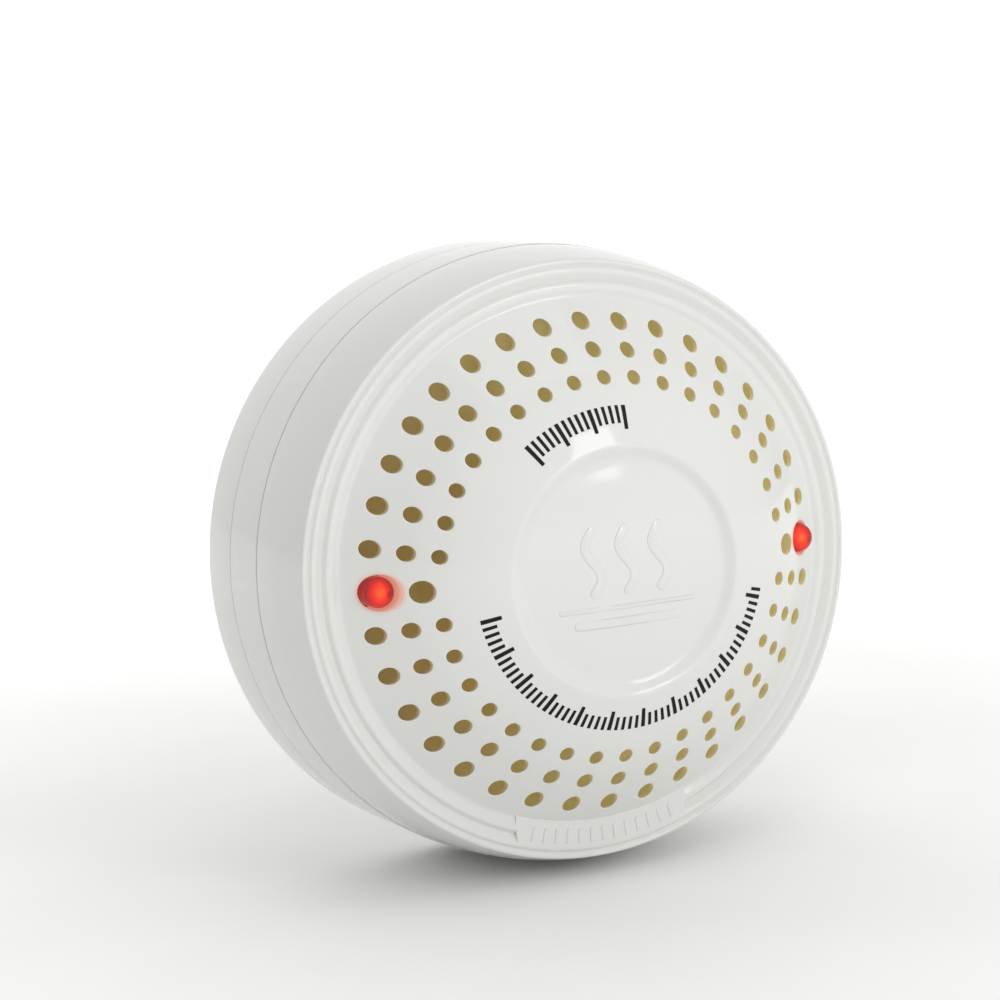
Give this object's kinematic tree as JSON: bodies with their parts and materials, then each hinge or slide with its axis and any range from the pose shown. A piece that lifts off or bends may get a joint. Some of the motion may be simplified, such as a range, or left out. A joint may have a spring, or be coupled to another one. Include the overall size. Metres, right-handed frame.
{
  "type": "heat detector",
  "caption": "Round wall or ceiling heat detector: a domed, perforated head with red indicator lamps that twists onto a shallow base.",
  "frame": {"origin": "centre of the mounting plane, at the back face of the base", "axes": "-Y out of the wall along the drum's axis, +Z towards 12 o'clock, +X towards 3 o'clock seen from the front"},
  "size_m": [0.107, 0.0515, 0.107],
  "materials": {
    "shell": "white ABS moulding with a soft gloss",
    "baffle": "cream ABS moulding",
    "nickel": "nickel-plated stamping",
    "brass": "plain brass",
    "board": "green solder mask on glass-fibre board",
    "black": "black moulding or black print",
    "capacitor_sleeve": "dark blue shrink sleeve",
    "resistor_body": "tan lacquer",
    "ceramic": "ochre dipped ceramic",
    "thermistor_bead": "dark epoxy bead",
    "spacer": "natural nylon",
    "lamp_red": "clear red epoxy",
    "label": "blank paper label"
  },
  "bodies": {
    "base": {"mounting_base": "shell", "contact_clip_1": "nickel", "contact_clip_2": "nickel", "contact_clip_3": "nickel", "contact_clip_4": "nickel", "terminal_washers": "nickel", "terminal_screws": "brass"},
    "head": {"rear_housing": "shell", "rating_label": "label", "contact_tab_1": "nickel", "contact_tab_2": "nickel", "contact_tab_3": "nickel", "contact_tab_4": "nickel", "contact_posts": "brass", "circuit_board": "board", "board_screws": "nickel", "controller_chip": "black", "filter_capacitor": "capacitor_sleeve", "bridge_rectifier": "black", "surge_suppressor": "black", "resistors": "resistor_body", "ceramic_capacitors": "ceramic", "transistors": "black", "reference_thermistor": "thermistor_bead", "sensing_thermistor_upper": "thermistor_bead", "sensing_thermistor_lower": "thermistor_bead", "inner_baffle": "baffle", "lamp_spacer_left": "spacer", "lamp_spacer_right": "spacer", "lamp_left": "lamp_red", "lamp_right": "lamp_red", "front_cover": "shell"}
  },
  "joints": [
    {"name": "head_twist", "type": "hinge", "parent": "base", "child": "head", "pos_m": [0, 0, 0], "axis": [0, -1, 0], "range_deg": [0, 20]}
  ]
}
